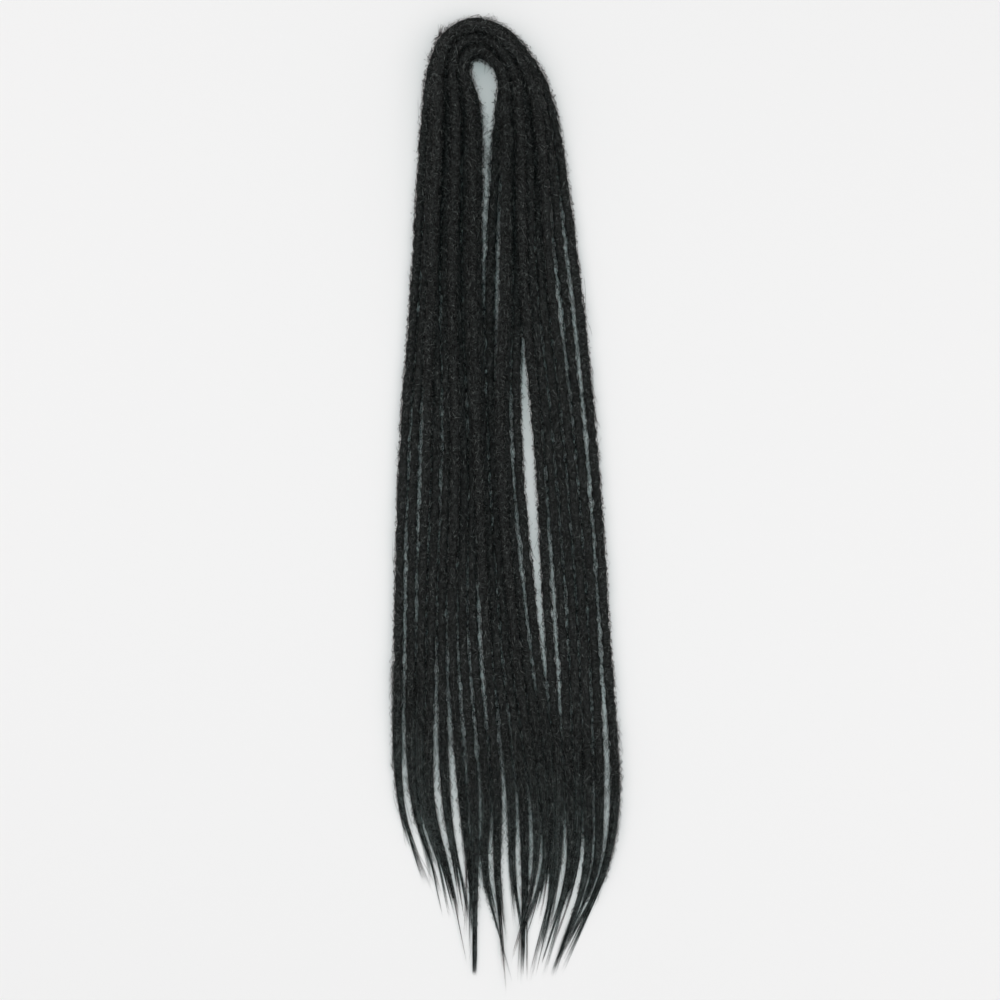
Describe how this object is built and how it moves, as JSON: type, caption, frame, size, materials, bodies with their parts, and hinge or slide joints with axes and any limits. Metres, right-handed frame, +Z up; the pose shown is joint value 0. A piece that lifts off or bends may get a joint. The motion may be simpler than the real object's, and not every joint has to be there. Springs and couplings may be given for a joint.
{
  "type": "dreadlock extension bundle",
  "caption": "Bundle of double-ended felted dreadlock extensions, folded over at their middles and laid flat, with their combed-out points drawn together at the far end.",
  "frame": {"origin": "centre of the bundle's box, on the surface that it lies on", "axes": "+X across the bundle, +Y along it towards the fold, +Z up from the surface"},
  "size_m": [0.1464, 0.6162, 0.0179],
  "materials": {
    "felted_hair": "matte, fuzzy felted hair, near black"
  },
  "bodies": {
    "root": {"dread_01_left_end": "felted_hair", "dread_01_left_leg": "felted_hair", "dread_01_fold": "felted_hair", "dread_01_right_leg": "felted_hair", "dread_01_right_end": "felted_hair", "dread_02_left_end": "felted_hair", "dread_02_left_leg": "felted_hair", "dread_02_fold": "felted_hair", "dread_02_right_leg": "felted_hair", "dread_02_right_end": "felted_hair", "dread_03_left_end": "felted_hair", "dread_03_left_leg": "felted_hair", "dread_03_fold": "felted_hair", "dread_03_right_leg": "felted_hair", "dread_03_right_end": "felted_hair", "dread_04_left_end": "felted_hair", "dread_04_left_leg": "felted_hair", "dread_04_fold": "felted_hair", "dread_04_right_leg": "felted_hair", "dread_04_right_end": "felted_hair", "dread_05_left_end": "felted_hair", "dread_05_left_leg": "felted_hair", "dread_05_fold": "felted_hair", "dread_05_right_leg": "felted_hair", "dread_05_right_end": "felted_hair", "dread_06_left_end": "felted_hair", "dread_06_left_leg": "felted_hair", "dread_06_fold": "felted_hair", "dread_06_right_leg": "felted_hair", "dread_06_right_end": "felted_hair", "dread_07_left_end": "felted_hair", "dread_07_left_leg": "felted_hair", "dread_07_fold": "felted_hair", "dread_07_right_leg": "felted_hair", "dread_07_right_end": "felted_hair", "dread_08_left_end": "felted_hair", "dread_08_left_leg": "felted_hair", "dread_08_fold": "felted_hair", "dread_08_right_leg": "felted_hair", "dread_08_right_end": "felted_hair", "dread_09_left_end": "felted_hair", "dread_09_left_leg": "felted_hair", "dread_09_fold": "felted_hair", "dread_09_right_leg": "felted_hair", "dread_09_right_end": "felted_hair", "dread_10_left_end": "felted_hair", "dread_10_left_leg": "felted_hair", "dread_10_fold": "felted_hair", "dread_10_right_leg": "felted_hair", "dread_10_right_end": "felted_hair"}
  },
  "joints": []
}
